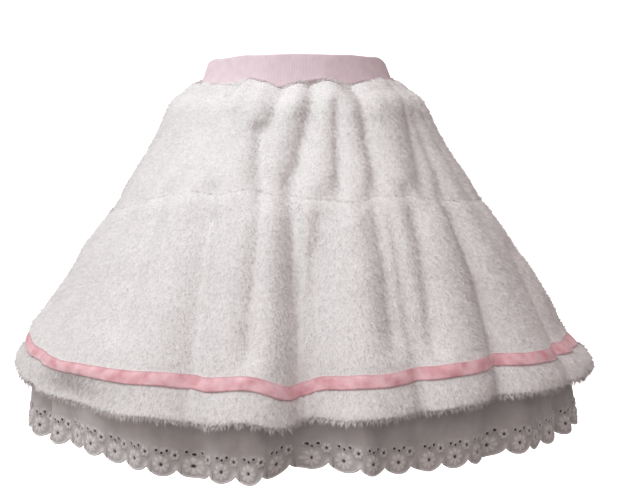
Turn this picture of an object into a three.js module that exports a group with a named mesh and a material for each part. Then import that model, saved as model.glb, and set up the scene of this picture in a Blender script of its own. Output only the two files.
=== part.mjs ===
// A two-tier gathered skirt in long-pile plush, with an elastic waistband, a satin ribbon above
// its hem and a scalloped eyelet lace trim sewn inside the hem. It keeps its worn, hollow form.
//
// Millimetres, +Z up. The front faces -Y and +X is on the right of someone who looks at the front.
// The origin is the middle of the hollow of the waistband. Angles round the skirt are in degrees,
// 0 at the front centre and positive towards +X. Each tier is measured by its "drop": 0 at its
// upper edge and 1 at its lower edge.
import * as THREE from "three";

// ---- driving dimensions, mm ----
const SEAM_GAP = 0.3; // between two pieces that are sewn to each other
const BAND_WALL = 3; // doubled elastic rib
const BAND_ROUND = 0.8; // how far the band's folded top edge is rounded
const PLUSH_WALL = 7; // knitted back and the pile that lies on it
const HEM_WALL = 11; // turned-up hem with its pile
const RIBBON_WALL = 1;
const RIBBON_TOP = 0.77; // the flounce's drops at the edges of its 14 mm ribbon
const RIBBON_BOTTOM = 0.822;
const LACE_SEAM = 0.8; // the flounce's drop where the lace is sewn to its back
const LACE_WALL = 1;
const SCALLOPS = 60; // round the lace's edge
const SCALLOP_DEPTH = 9; // from the tip of a scallop up to the notch
const LACE_WAVES = 30; // ruffle waves of the gathered lace
const FLOUNCE_GATHERS = 26; // small gathers where the flounce is sewn on
const YOKE_GATHERS = 20; // small gathers under the waistband

// ---- how finely the walls are cut ----
const COLUMNS = 120; // round the whole skirt, a multiple of 2
const LACE_COLUMNS_PER_SCALLOP = 4;
const RIM_BLEND = 0.08; // drop over which a wall turns from its rim to square on its face
const STEP = 0.004; // step of the differences that give a face its direction

const DEG = Math.PI / 180;

// A table of named columns as a list of objects.
const table = (columns, rows) =>
  rows.map((row) => Object.fromEntries(columns.map((name, i) => [name, row[i]])));

// ---- waistband: its half width and half depth at its top and its bottom edge ----
const BAND_TOP = { halfWidth: 108, halfDepth: 89 };
const BAND_BOTTOM = { halfWidth: 118, halfDepth: 98 };

// Height of the waistband's top edge round the waist.
const BAND_TOP_HEIGHT = table(["angle", "z"], [
  [-180, 25], [-135, 20], [-90, 13], [-55, 20], [-25, 24], [0, 24], [25, 24], [55, 20], [90, 13], [135, 20],
]);

// Height of the line where the gathered plush meets the waistband.
const BAND_SEAM_HEIGHT = table(["angle", "z"], [
  [-180, -8], [-160, -4], [-140, -11], [-118, -6], [-98, -13], [-76, -13], [-59, -10], [-36, -9],
  [-27, -1], [-19, -4], [-10, -11], [2, -5], [16, -2], [32, -9], [45, -5], [60, -5], [77, -9],
  [98, -12], [120, -5], [142, -10], [160, -5],
]);

// Height of the seam between the tiers, which the gathers pull up and down.
const TIER_SEAM_HEIGHT = table(["angle", "z"], [
  [-180, -134], [-160, -141], [-140, -136], [-120, -150], [-103, -160], [-85, -169], [-70, -160],
  [-56, -150], [-47, -140], [-41, -135], [-33, -129], [-25, -132], [-15, -125], [-6, -131],
  [4, -135], [19, -140], [26, -134], [37, -135], [46, -142], [60, -147], [78, -153], [95, -158],
  [112, -152], [130, -142], [148, -144], [164, -133],
]);

// Height of the hem's lowest edge, which hangs unevenly from fold to fold.
const HEM_HEIGHT = table(["angle", "z"], [
  [-180, -381], [-160, -386], [-138, -378], [-116, -384], [-95, -379], [-75, -372], [-60, -371],
  [-50, -380], [-35, -384], [-27, -382], [-18, -389], [-9, -382], [-1, -391], [6, -383],
  [15, -378], [25, -375], [34, -371], [46, -368], [55, -371], [65, -377], [83, -381], [104, -376],
  [124, -384], [146, -379], [164, -387],
]);

// Height of the lace's scallop tips.
const LACE_EDGE_HEIGHT = table(["angle", "z"], [
  [-180, -438], [-140, -434], [-100, -438], [-72, -434], [-48, -433], [-36, -434], [-24, -445],
  [-16, -446], [-6, -435], [3, -430], [12, -434], [25, -440], [42, -432], [62, -431], [83, -438],
  [110, -433], [146, -440],
]);

// ---- sections of the two tiers: half width and half depth at the tips of the pile ----
const YOKE_SECTIONS = table(["drop", "halfWidth", "halfDepth"], [
  [0, 121, 101], [0.02, 130, 110], [0.06, 143, 123], [0.12, 155, 134], [0.2, 163, 142],
  [0.33, 172, 150], [0.54, 189, 167], [0.76, 211, 189], [0.91, 226, 204], [1, 230, 208],
]);
const FLOUNCE_SECTIONS = table(["drop", "halfWidth", "halfDepth"], [
  [0, 230, 208], [0.04, 239, 217], [0.11, 250, 228], [0.26, 273, 250], [0.41, 292, 268],
  [0.56, 312, 285], [0.7, 333, 303], [0.82, 352, 319], [0.92, 364, 329], [1, 368, 332],
]);

// How far the pile's face is drawn in from those sections: at the seam's groove, under the
// ribbon, and where the hem rounds under.
const YOKE_FACE = table(["drop", "inset"], [
  [0, 0], [0.86, 0], [0.95, 1.5], [1, 4.5],
]);
const FLOUNCE_FACE = table(["drop", "inset"], [
  [0, 4.5], [0.02, 1.5], [0.06, 0], [0.745, 0], [RIBBON_TOP, 2.5], [RIBBON_BOTTOM, 2.5],
  [0.845, 0], [0.95, 0], [0.98, 1.5], [1, 4.5],
]);
const FLOUNCE_BACK = table(["drop", "inset"], [
  [0, PLUSH_WALL], [0.87, PLUSH_WALL], [0.93, HEM_WALL - 1], [0.97, HEM_WALL], [1, HEM_WALL - 3],
]);
const YOKE_BACK = table(["drop", "inset"], [[0, PLUSH_WALL], [1, PLUSH_WALL]]);

// ---- large folds: each is a trough that runs from one angle at the tier's top to another at
// its bottom, between two drops. A negative depth is a ridge. ----
const FOLD_COLUMNS = ["topAngle", "bottomAngle", "from", "to", "depth", "width"];
const YOKE_FOLDS = table(FOLD_COLUMNS, [
  [-166, -160, 0, 1, 6, 7], [-146, -150, 0.2, 1, 5, 7], [-128, -122, 0, 1, 7, 6],
  [-104, -108, 0, 0.7, 5, 6], [-82, -79, 0, 1, 6, 7], [-60, -56, 0.3, 1, 4, 6],
  [-36, -33, 0, 1, 4, 6], [-14, -14, 0, 0.35, 5, 4], [-17, -18, 0.35, 1, 6, 5],
  [7, -5, 0, 1, 7, 4.5], [16, 10, 0.05, 1, 6, 4.5], [28, 22, 0, 1, 7, 5],
  [55, 36, 0, 1, 8, 8], [76, 66, 0, 1, 5, 6], [98, 92, 0, 0.8, 5, 6],
  [116, 122, 0, 1, 7, 7], [140, 137, 0.15, 1, 5, 6], [158, 152, 0, 1, 6, 6],
  [178, 176, 0, 0.75, 5, 5],
]);
const FLOUNCE_FOLDS = table(FOLD_COLUMNS, [
  [-168, -161, 0, 1, 13, 6], [-152, -154, 0, 0.5, 6, 4.5], [-141, -136, 0, 1, 12, 6.5],
  [-122, -117, 0, 1, 13, 6], [-111, -113, 0, 0.6, 7, 4.5], [-97, -100, 0, 1, 11, 6],
  [-77, -80, 0.1, 0.75, 6, 5], [-62, -66, 0, 1, 11, 6], [-49, -41, 0, 1, 10, 6.5],
  [-31, -21, 0, 1, 11, 5.5], [-19, -15, 0, 0.5, 8, 4], [-4, -1.5, 0, 1, 15, 5],
  [7, 3, 0, 0.6, 6, 4], [21, 20, 0, 1, 9, 5], [28, 27, 0, 0.3, 6, 3.5],
  [34, 26, 0, 0.65, 8, 4.5], [50, 39, 0, 1, 12, 5.5], [59, 60, 0, 1, 11, 5],
  [76, 74, 0, 1, 9, 5.5], [92, 95, 0, 0.55, 7, 5], [106, 105, 0, 1, 12, 6],
  [122, 125, 0, 0.7, 7, 5], [136, 140, 0, 1, 13, 6.5], [156, 153, 0, 0.6, 7, 5],
  [174, 179, 0, 1, 13, 6],
  [43, 42, 0.02, 0.22, -5, 5], [12, 10, 0.25, 1, -3, 5], [-30, -32, 0.3, 1, -4, 5],
]);
const FOLD_FADE = 0.16; // drop over which a fold that stops dies out

// ---- lace: how far it stands off its sewn edge, and the height of its ruffle waves ----
const LACE_SECTIONS = table(["drop", "flare", "wave"], [
  [0, 0, 0], [0.38, -1, 3.5], [0.7, 2, 5.5], [1, 5, 6.5],
]);

const COLORS = { plush: 0xf2efed, band: 0xeecfd6, ribbon: 0xf0b8c2, lace: 0xe2dcd6 };

// ---------------------------------------------------------------------------------------------
// Reading the tables

const mix = (a, b, t) => a + (b - a) * t;
const smooth = (t) => {
  const s = Math.min(1, Math.max(0, t));
  return s * s * (3 - 2 * s);
};

// A value between the rows of a table, in straight lines.
function along(rows, key, name, at) {
  const last = rows.length - 1;
  if (at <= rows[0][key]) return rows[0][name];
  if (at >= rows[last][key]) return rows[last][name];
  const i = rows.findIndex((row) => row[key] > at);
  const low = rows[i - 1];
  const high = rows[i];
  return mix(low[name], high[name], (at - low[key]) / (high[key] - low[key]));
}

// A height round the skirt: a table by angle, eased from row to row and joined at the back.
function around(rows, degrees) {
  const angle = ((((degrees + 180) % 360) + 360) % 360) - 180;
  const next = rows.findIndex((row) => row.angle > angle);
  const high = next < 0 ? { ...rows[0], angle: rows[0].angle + 360 } : rows[next];
  const low = rows[(next < 0 ? rows.length : next) - 1];
  return mix(low.z, high.z, smooth((angle - low.angle) / (high.angle - low.angle)));
}

// How far the folds draw a tier's face in at one angle and drop.
function foldDepth(folds, degrees, drop) {
  let depth = 0;
  for (const fold of folds) {
    const centre = mix(fold.topAngle, fold.bottomAngle, drop);
    const off = ((((degrees - centre + 180) % 360) + 360) % 360) - 180;
    const begins = fold.from === 0 ? 1 : smooth((drop - fold.from) / FOLD_FADE);
    const ends = fold.to === 1 ? 1 : smooth((fold.to - drop) / FOLD_FADE);
    depth += fold.depth * Math.exp(-((off / fold.width) ** 2)) * begins * ends;
  }
  return depth;
}

// ---------------------------------------------------------------------------------------------
// The two tiers

const YOKE = {
  sections: YOKE_SECTIONS,
  face: YOKE_FACE,
  back: YOKE_BACK,
  folds: YOKE_FOLDS,
  foldGrowth: [0.6, 1],
  gathers: { count: YOKE_GATHERS, height: 2.5, reach: 0.25, phase: 0.7 },
  seamShare: (drop) => smooth((drop - 0.8) / 0.2),
  top: (degrees) => around(BAND_SEAM_HEIGHT, degrees) - SEAM_GAP / 2,
  bottom: (degrees) => around(TIER_SEAM_HEIGHT, degrees) + SEAM_GAP / 2,
  outerDrops: [0, 0.02, 0.06, 0.12, 0.2, 0.36, 0.54, 0.72, 0.88, 0.96, 1],
  backDrops: [0, 0.12, 0.36, 0.66, 1],
};
const FLOUNCE = {
  sections: FLOUNCE_SECTIONS,
  face: FLOUNCE_FACE,
  back: FLOUNCE_BACK,
  folds: FLOUNCE_FOLDS,
  foldGrowth: [0.55, 1.3],
  gathers: { count: FLOUNCE_GATHERS, height: 3.5, reach: 0.2, phase: 0 },
  seamShare: (drop) => 1 - smooth(drop / 0.12),
  top: (degrees) => around(TIER_SEAM_HEIGHT, degrees) - SEAM_GAP / 2,
  bottom: (degrees) => around(HEM_HEIGHT, degrees),
  outerDrops: [
    0, 0.02, 0.06, 0.14, 0.27, 0.42, 0.58, 0.745, RIBBON_TOP, RIBBON_BOTTOM, 0.845, 0.93, 0.98, 1,
  ],
  backDrops: [0, 0.14, 0.42, LACE_SEAM, 0.93, 1],
};

// How far a tier's own gathers and folds move its face out.
function ownWaves(tier, degrees, drop) {
  const { count, height, reach, phase } = tier.gathers;
  const turn = degrees * DEG;
  const gather = height * Math.exp(-drop / reach) * Math.sin(count * turn + phase + Math.sin(3 * turn));
  const growth = mix(tier.foldGrowth[0], tier.foldGrowth[1], drop);
  return gather - growth * foldDepth(tier.folds, degrees, drop);
}

// The same, brought together at the seam between the tiers, so that their rims meet.
function waves(tier, degrees, drop) {
  const share = tier.seamShare(drop);
  const own = share < 1 ? ownWaves(tier, degrees, drop) : 0;
  const seam = share > 0 ? (ownWaves(YOKE, degrees, 1) + ownWaves(FLOUNCE, degrees, 0)) / 2 : 0;
  return mix(own, seam, share);
}

// A point of a tier's section before its face is drawn in.
function sectionPoint(tier, degrees, drop) {
  const turn = degrees * DEG;
  const out = waves(tier, degrees, drop);
  return new THREE.Vector3(
    (along(tier.sections, "drop", "halfWidth", drop) + out) * Math.sin(turn),
    -(along(tier.sections, "drop", "halfDepth", drop) + out) * Math.cos(turn),
    mix(tier.top(degrees), tier.bottom(degrees), drop),
  );
}

// The way a tier's wall faces: square on its section, and level at its two rims, where it lies
// against the rim of the next piece.
function facing(tier, degrees, drop) {
  const turn = degrees * DEG;
  const level = new THREE.Vector3(Math.sin(turn), -Math.cos(turn), 0);
  const step = STEP / DEG;
  const across = sectionPoint(tier, degrees + step, drop).sub(sectionPoint(tier, degrees - step, drop));
  const high = Math.max(0, drop - STEP);
  const low = Math.min(1, drop + STEP);
  const down = sectionPoint(tier, degrees, low).sub(sectionPoint(tier, degrees, high));
  const square = down.cross(across).normalize();
  const rim = smooth(Math.min(drop, 1 - drop) / RIM_BLEND);
  return level.lerp(square, rim).normalize();
}

// A point of a tier's wall, inset from its section.
const wallPoint = (tier, degrees, drop, inset) =>
  sectionPoint(tier, degrees, drop).addScaledVector(facing(tier, degrees, drop), -inset);

const facePoint = (tier, degrees, drop, out = 0) =>
  wallPoint(tier, degrees, drop, along(tier.face, "drop", "inset", drop) - out);
const backPoint = (tier, degrees, drop) =>
  wallPoint(tier, degrees, drop, along(tier.back, "drop", "inset", drop));

// ---------------------------------------------------------------------------------------------
// Making walls

// A closed wall from rings of points, down its outside and then up its inside. Each ring has one
// point for each column. Both sides split their quads along the same diagonal, so that walls that
// lie on each other stay parallel. A wall that does not go all round is closed at each end.
function wallGeometry(outside, inside, isTube) {
  const rings = [...outside, ...inside];
  const columns = rings[0].length;
  const positions = rings.flat().flatMap((point) => [point.x, point.y, point.z]);
  const at = (ring, column) => (ring % rings.length) * columns + (column % columns);
  const faces = [];
  const spans = isTube ? columns : columns - 1;
  for (let ring = 0; ring < rings.length; ring++)
    for (let column = 0; column < spans; column++) {
      const [a, b] = [at(ring, column), at(ring, column + 1)];
      const [c, d] = [at(ring + 1, column), at(ring + 1, column + 1)];
      if (ring < outside.length) faces.push(a, c, b, b, c, d);
      else faces.push(a, c, d, a, d, b);
    }
  if (!isTube)
    for (const [column, flip] of [[0, false], [columns - 1, true]]) {
      const outline = rings.map((ring) => ring[column]);
      for (const [i, j, k] of endFaces(outline))
        faces.push(...(flip ? [at(i, column), at(j, column), at(k, column)]
          : [at(k, column), at(j, column), at(i, column)]));
    }
  const geometry = new THREE.BufferGeometry();
  geometry.setAttribute("position", new THREE.Float32BufferAttribute(positions, 3));
  geometry.setIndex(faces);
  geometry.computeVertexNormals();
  return geometry;
}

// The triangles of a wall's end, each turned the way that its outline runs. The outline is seen
// along the skirt, by its radius and height.
function endFaces(outline) {
  const flat = outline.map((point) => new THREE.Vector2(Math.hypot(point.x, point.y), point.z));
  const runs = Math.sign(THREE.ShapeUtils.area(flat));
  return THREE.ShapeUtils.triangulateShape(flat, []).map(([i, j, k]) =>
    (Math.sign(THREE.ShapeUtils.area([flat[i], flat[j], flat[k]])) === runs ? [i, j, k] : [i, k, j]));
}

// The angles of the columns of a front or back panel, which stops half a seam gap short of each
// side; the gap is the same at every height, so it is taken off the point and not the angle.
function panelAngles(isFront) {
  const half = COLUMNS / 2;
  const first = isFront ? -90 : 90;
  return Array.from({ length: half + 1 }, (_, i) => first + (180 * i) / half);
}

// A panel of a tier: the front or the back half of its wall.
function panel(tier, isFront) {
  const angles = panelAngles(isFront);
  const trim = (point, i) => {
    if (i === 0 || i === angles.length - 1) point.y = (isFront ? -SEAM_GAP : SEAM_GAP) / 2;
    return point;
  };
  const outside = tier.outerDrops.map((drop) => angles.map((a, i) => trim(facePoint(tier, a, drop), i)));
  const inside = tier.backDrops.map((drop) => angles.map((a, i) => trim(backPoint(tier, a, drop), i)));
  return wallGeometry(outside, inside.reverse(), false);
}

// A wall that goes all round, from functions that give each ring's point at an angle.
function tube(outside, inside, count) {
  const angles = Array.from({ length: count }, (_, i) => -180 + (360 * i) / count);
  const ringsOf = (functions) => functions.map((ring) => angles.map(ring));
  return wallGeometry(ringsOf(outside), ringsOf(inside), true);
}

// The waistband: a short tube whose lower edge follows the gathered plush.
function waistband() {
  const edge = (size, heights, inset, down) => (degrees) => new THREE.Vector3(
    (size.halfWidth - inset) * Math.sin(degrees * DEG),
    -(size.halfDepth - inset) * Math.cos(degrees * DEG),
    around(heights, degrees) + down,
  );
  const outside = [
    edge(BAND_TOP, BAND_TOP_HEIGHT, BAND_ROUND, 0),
    edge(BAND_TOP, BAND_TOP_HEIGHT, 0, -2 * BAND_ROUND),
    edge(BAND_BOTTOM, BAND_SEAM_HEIGHT, 0, SEAM_GAP / 2),
  ];
  const inside = [
    edge(BAND_BOTTOM, BAND_SEAM_HEIGHT, BAND_WALL, SEAM_GAP / 2),
    edge(BAND_TOP, BAND_TOP_HEIGHT, BAND_WALL, -2 * BAND_ROUND),
    edge(BAND_TOP, BAND_TOP_HEIGHT, BAND_WALL - BAND_ROUND, 0),
  ];
  return tube(outside, inside, COLUMNS);
}

// The ribbon: a flat strip laid round the flounce, made from the flounce's own face moved out.
function ribbon() {
  const edge = (drop, out) => (degrees) => facePoint(FLOUNCE, degrees, drop, out);
  const proud = SEAM_GAP + RIBBON_WALL;
  return tube(
    [edge(RIBBON_TOP, proud), edge(RIBBON_BOTTOM, proud)],
    [edge(RIBBON_BOTTOM, SEAM_GAP), edge(RIBBON_TOP, SEAM_GAP)],
    COLUMNS,
  );
}

// The lace: it is sewn to the back of the flounce behind the ribbon, hangs inside the hem in
// gathers and ends below it in scallops.
function lace() {
  const columnAngle = 360 / COLUMNS;
  const sewn = (degrees) => backPoint(FLOUNCE, degrees, LACE_SEAM);
  const sewnEdge = (degrees) => {
    const low = Math.floor(degrees / columnAngle + 1e-9) * columnAngle;
    return sewn(low).lerp(sewn(low + columnAngle), (degrees - low) / columnAngle);
  };
  const hang = (drop, inset) => (degrees) => {
    const turn = degrees * DEG;
    const top = sewnEdge(degrees);
    const uneven = 0.65 + 0.35 * Math.sin(5 * turn + 1);
    const ruffle = Math.sin(LACE_WAVES * turn + 1.3 * Math.sin(4 * turn));
    const out = along(LACE_SECTIONS, "drop", "flare", drop) - SEAM_GAP - inset
      + along(LACE_SECTIONS, "drop", "wave", drop) * uneven * ruffle;
    const along01 = (degrees / 360) * SCALLOPS;
    const lobe = Math.sqrt(Math.abs(Math.sin(Math.PI * along01)));
    const tip = around(LACE_EDGE_HEIGHT, degrees) + SCALLOP_DEPTH * (1 - lobe);
    return new THREE.Vector3(
      top.x + out * Math.sin(turn), top.y - out * Math.cos(turn), mix(top.z, tip, drop),
    );
  };
  const drops = LACE_SECTIONS.map((row) => row.drop);
  return tube(
    drops.map((drop) => hang(drop, 0)),
    drops.map((drop) => hang(drop, LACE_WALL)).reverse(),
    SCALLOPS * LACE_COLUMNS_PER_SCALLOP,
  );
}

// ---------------------------------------------------------------------------------------------

function piece(name, geometry, color, roughness) {
  const material = new THREE.MeshStandardMaterial({ color, roughness, metalness: 0 });
  const mesh = new THREE.Mesh(geometry, material);
  mesh.name = name;
  return mesh;
}

const skirt = new THREE.Group();
skirt.add(
  piece("waistband", waistband(), COLORS.band, 0.85),
  piece("yoke_front", panel(YOKE, true), COLORS.plush, 0.95),
  piece("yoke_back", panel(YOKE, false), COLORS.plush, 0.95),
  piece("flounce_front", panel(FLOUNCE, true), COLORS.plush, 0.95),
  piece("flounce_back", panel(FLOUNCE, false), COLORS.plush, 0.95),
  piece("ribbon", ribbon(), COLORS.ribbon, 0.4),
  piece("lace_trim", lace(), COLORS.lace, 0.85),
);

export default skirt;
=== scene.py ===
"""The finish of a two-tier plush skirt: pile, rib knit, satin ribbon and eyelet lace."""
import math

import bpy
import numpy as np
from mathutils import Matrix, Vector
from mathutils.geometry import delaunay_2d_cdt


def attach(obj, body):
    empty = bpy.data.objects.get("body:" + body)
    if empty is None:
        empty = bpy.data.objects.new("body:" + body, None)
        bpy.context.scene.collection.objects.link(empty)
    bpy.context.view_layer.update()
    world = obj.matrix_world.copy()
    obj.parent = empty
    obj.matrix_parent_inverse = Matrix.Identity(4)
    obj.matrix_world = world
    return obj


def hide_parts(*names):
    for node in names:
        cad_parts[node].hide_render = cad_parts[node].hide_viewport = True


bl_info = {
    "name": "Plush tiered skirt",
    "version": (1, 0, 0),
    "blender": (4, 5, 0),
    "location": "View3D > Sidebar > Skirt",
    "description": "Builds the pile, cloth, ribbon and lace of a gathered two-tier skirt",
    "category": "Object",
}

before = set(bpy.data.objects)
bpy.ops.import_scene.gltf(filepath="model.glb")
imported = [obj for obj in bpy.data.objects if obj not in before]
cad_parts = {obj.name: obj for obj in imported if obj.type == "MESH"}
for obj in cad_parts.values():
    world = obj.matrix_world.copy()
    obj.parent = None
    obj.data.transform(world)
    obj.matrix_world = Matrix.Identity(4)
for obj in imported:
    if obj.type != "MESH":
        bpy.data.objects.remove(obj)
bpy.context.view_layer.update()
BODY = "root"

MM = 0.001

# --- The skirt's form, in mm. Angles go round from the front centre, in degrees, positive towards
# +X. A tier's drop is 0 at its upper edge and 1 at its lower edge.

SEAM_GAP = 0.3
BAND_WALL = 3.0
PLUSH_WALL = 7.0  # knitted back and pile
HEM_WALL = 11.0
CLOTH = 3.8  # the plush's knitted back and the thick foot of its pile
RIBBON_TOP, RIBBON_BOTTOM = 0.766, 0.829
LACE_SEAM = 0.8
SCALLOPS = 60
SCALLOP_DEPTH = 9.0
LACE_WAVES = 30
RIM_BLEND = 0.08
STEP = 0.004
FOLD_FADE = 0.16

BAND_TOP = (110.5, 91.0)  # half width, half depth
BAND_BOTTOM = (120.0, 99.5)

# angle, height
BAND_TOP_HEIGHT = (
    (-180, 22), (-135, 19), (-90, 15), (-60, 22), (-30, 27.5), (0, 29.5), (30, 28), (60, 24), (90, 14),
    (135, 18),
)
BAND_SEAM_HEIGHT = (
    (-180, -8), (-160, -4), (-140, -11), (-118, -6), (-98, -13), (-76, -13), (-59, -10), (-36, -9),
    (-27, -1), (-19, -4), (-10, -11), (2, -5), (16, -2), (32, -9), (45, -5), (60, -5), (77, -9),
    (98, -12), (120, -5), (142, -10), (160, -5),
)
TIER_SEAM_HEIGHT = (
    (-180, -134), (-160, -141), (-140, -136), (-120, -150), (-103, -160), (-85, -169), (-70, -160),
    (-56, -150), (-47, -140), (-41, -135), (-33, -129), (-25, -132), (-15, -125), (-6, -131),
    (4, -135), (19, -140), (26, -134), (37, -135), (46, -142), (60, -147), (78, -153), (95, -158),
    (112, -152), (130, -142), (148, -144), (164, -133),
)
HEM_HEIGHT = (
    (-180, -381), (-160, -386), (-138, -378), (-116, -376), (-95, -360), (-80, -359), (-70, -373),
    (-62, -379), (-50, -382), (-35, -384), (-27, -382), (-18, -389), (-9, -382), (-1, -391), (6, -383),
    (15, -378), (25, -375), (34, -371), (46, -368), (55, -370), (65, -373), (83, -375), (104, -374),
    (124, -384), (146, -379), (164, -387),
)
LACE_EDGE_HEIGHT = (
    (-180, -440), (-140, -436), (-100, -440), (-72, -436), (-50, -432), (-36, -441), (-24, -449),
    (-16, -452), (-8, -451), (-1, -441), (8, -440), (25, -443), (42, -440), (62, -438), (83, -441),
    (110, -436), (146, -442),
)

# drop, half width, half depth
YOKE_SECTIONS = (
    (0, 121, 101), (0.02, 130, 110), (0.06, 143, 123), (0.12, 155, 134), (0.2, 163, 142),
    (0.33, 172, 150), (0.54, 189, 167), (0.76, 210, 188), (0.91, 223, 201), (1, 230.5, 208.5),
    (1.02, 232.5, 210.5),
)
FLOUNCE_SECTIONS = (
    (-0.02, 225.5, 203.5), (0, 230, 208), (0.04, 239, 217), (0.11, 250, 228), (0.26, 273, 250),
    (0.41, 292, 268), (0.56, 312, 287), (0.7, 333, 304), (0.82, 352, 316), (0.92, 365, 327), (1, 370, 335),
)

# top angle, bottom angle, from drop, to drop, depth, width
YOKE_FOLDS = (
    (-166, -160, 0, 1, 6, 7), (-146, -150, 0.2, 1, 5, 7), (-128, -122, 0, 1, 7, 6),
    (-104, -108, 0, 0.7, 5, 6), (-84, -80, 0.1, 1, 1.5, 8), (-60, -56, 0.3, 1, 1.5, 7),
    (-36, -33, 0.1, 1, 1.2, 7), (-7, -17, 0, 0.5, 7, 4.5), (-17, -11, 0.3, 1, 12, 5),
    (9.5, -2.5, 0, 1, 15, 7.6), (20, 13.5, 0.02, 1, 10, 4.8), (32, 26, 0, 1, 9, 5.5),
    (63, 43, 0, 1, 9, 8), (68, 54, 0.15, 1, 6, 6), (74, 72, 0, 1, 5, 6),
    (98, 92, 0, 0.8, 5, 6), (116, 122, 0, 1, 7, 7), (140, 137, 0.15, 1, 5, 6), (158, 152, 0, 1, 6, 6),
    (178, 176, 0, 0.75, 5, 5),
)
FLOUNCE_FOLDS = (
    (-168, -161, 0, 1, 13, 6), (-152, -154, 0, 0.5, 6, 4.5), (-141, -136, 0, 1, 12, 6.5),
    (-122, -117, 0, 1, 13, 6), (-111, -113, 0, 0.6, 7, 4.5), (-97, -100, 0, 1, 7, 6),
    (-77, -80, 0.1, 0.75, 4, 5), (-62, -66, 0, 1, 4, 6), (-43.5, -40, 0, 0.7, 5, 4.5),
    (-25, -19.5, 0, 1, 10, 4.5), (-10, -9, 0, 0.8, 7, 3.5), (-0.6, 1.8, 0, 1, 18, 4.2),
    (5, 3.5, 0.1, 1, 7, 4), (7, 5.5, 0, 1, 11, 7), (24, 19.5, 0, 0.75, 6.5, 3.5), (28, 24, 0, 1, 7, 4.5),
    (36.5, 27, 0, 0.8, 7.5, 4.5), (52, 50, 0, 0.4, 6, 3.5), (55.5, 42.5, 0, 1, 12, 5.5),
    (83, 67, 0.15, 1, 9, 6), (90, 80, 0.5, 1, 5, 6), (106, 105, 0, 1, 12, 6),
    (122, 125, 0, 0.7, 7, 5), (136, 140, 0, 1, 13, 6.5), (156, 153, 0, 0.6, 7, 5),
    (174, 179, 0, 1, 13, 6),
    (43, 41, 0.02, 0.22, -4, 5), (17, 13, 0.2, 1, -4, 5), (-30, -32, 0.3, 1, -4, 5),
    (90, 90, 0.25, 0.75, -6, 16), (88, 88, 0.75, 1, -8, 18), (-50, -50, 0.78, 1, 12, 20),
    (-90, -90, 0.2, 1, 3, 20), (-90, -90, 0.7, 1, 6, 22),
)
# drop, flare, wave height
LACE_SECTIONS = ((0, 0, 0), (0.38, -2, 3.5), (0.7, 0, 5.5), (1, 2, 6.5))
CREASE, CREASE_WIDTH = 0.5, 0.36  # depth and width of the crease along a fold, as shares of the fold's
RIBBON_FACE = 1.9  # how far the ribbon's face lies under the tips of the pile
RIBBON_WALL = 0.9
RIBBON_WIDTH = 17.0


def smooth(t):
    s = np.clip(t, 0, 1)
    return s * s * (3 - 2 * s)


def mix(a, b, t):
    return a + (b - a) * t


def along(rows, column, at):
    """A column of a table between its rows, through a smooth curve that never overshoots."""
    data = np.array(rows, float)
    x, y = data[:, 0], data[:, column]
    slopes = np.diff(y) / np.diff(x)
    same_way = slopes[:-1] * slopes[1:] > 0
    total = np.where(same_way, slopes[:-1] + slopes[1:], 1)
    inner = np.where(same_way, 2 * slopes[:-1] * slopes[1:] / total, 0)
    tangents = np.concatenate([[slopes[0]], inner, [slopes[-1]]])
    at = np.clip(at, x[0], x[-1])
    i = np.clip(np.searchsorted(x, at, side="right") - 1, 0, len(x) - 2)
    width = x[i + 1] - x[i]
    t = (at - x[i]) / width
    return (
        (2 * t**3 - 3 * t**2 + 1) * y[i] + (t**3 - 2 * t**2 + t) * width * tangents[i]
        + (3 * t**2 - 2 * t**3) * y[i + 1] + (t**3 - t**2) * width * tangents[i + 1]
    )


def around(rows, degrees):
    """A height round the skirt, eased from row to row and joined at the back."""
    data = np.array(rows + ((rows[0][0] + 360, rows[0][1]),), float)
    angle = np.mod(np.asarray(degrees, float) + 180, 360) - 180
    i = np.clip(np.searchsorted(data[:, 0], angle, side="right") - 1, 0, len(rows) - 1)
    t = smooth((angle - data[i, 0]) / (data[i + 1, 0] - data[i, 0]))
    return mix(data[i, 1], data[i + 1, 1], t)


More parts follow.
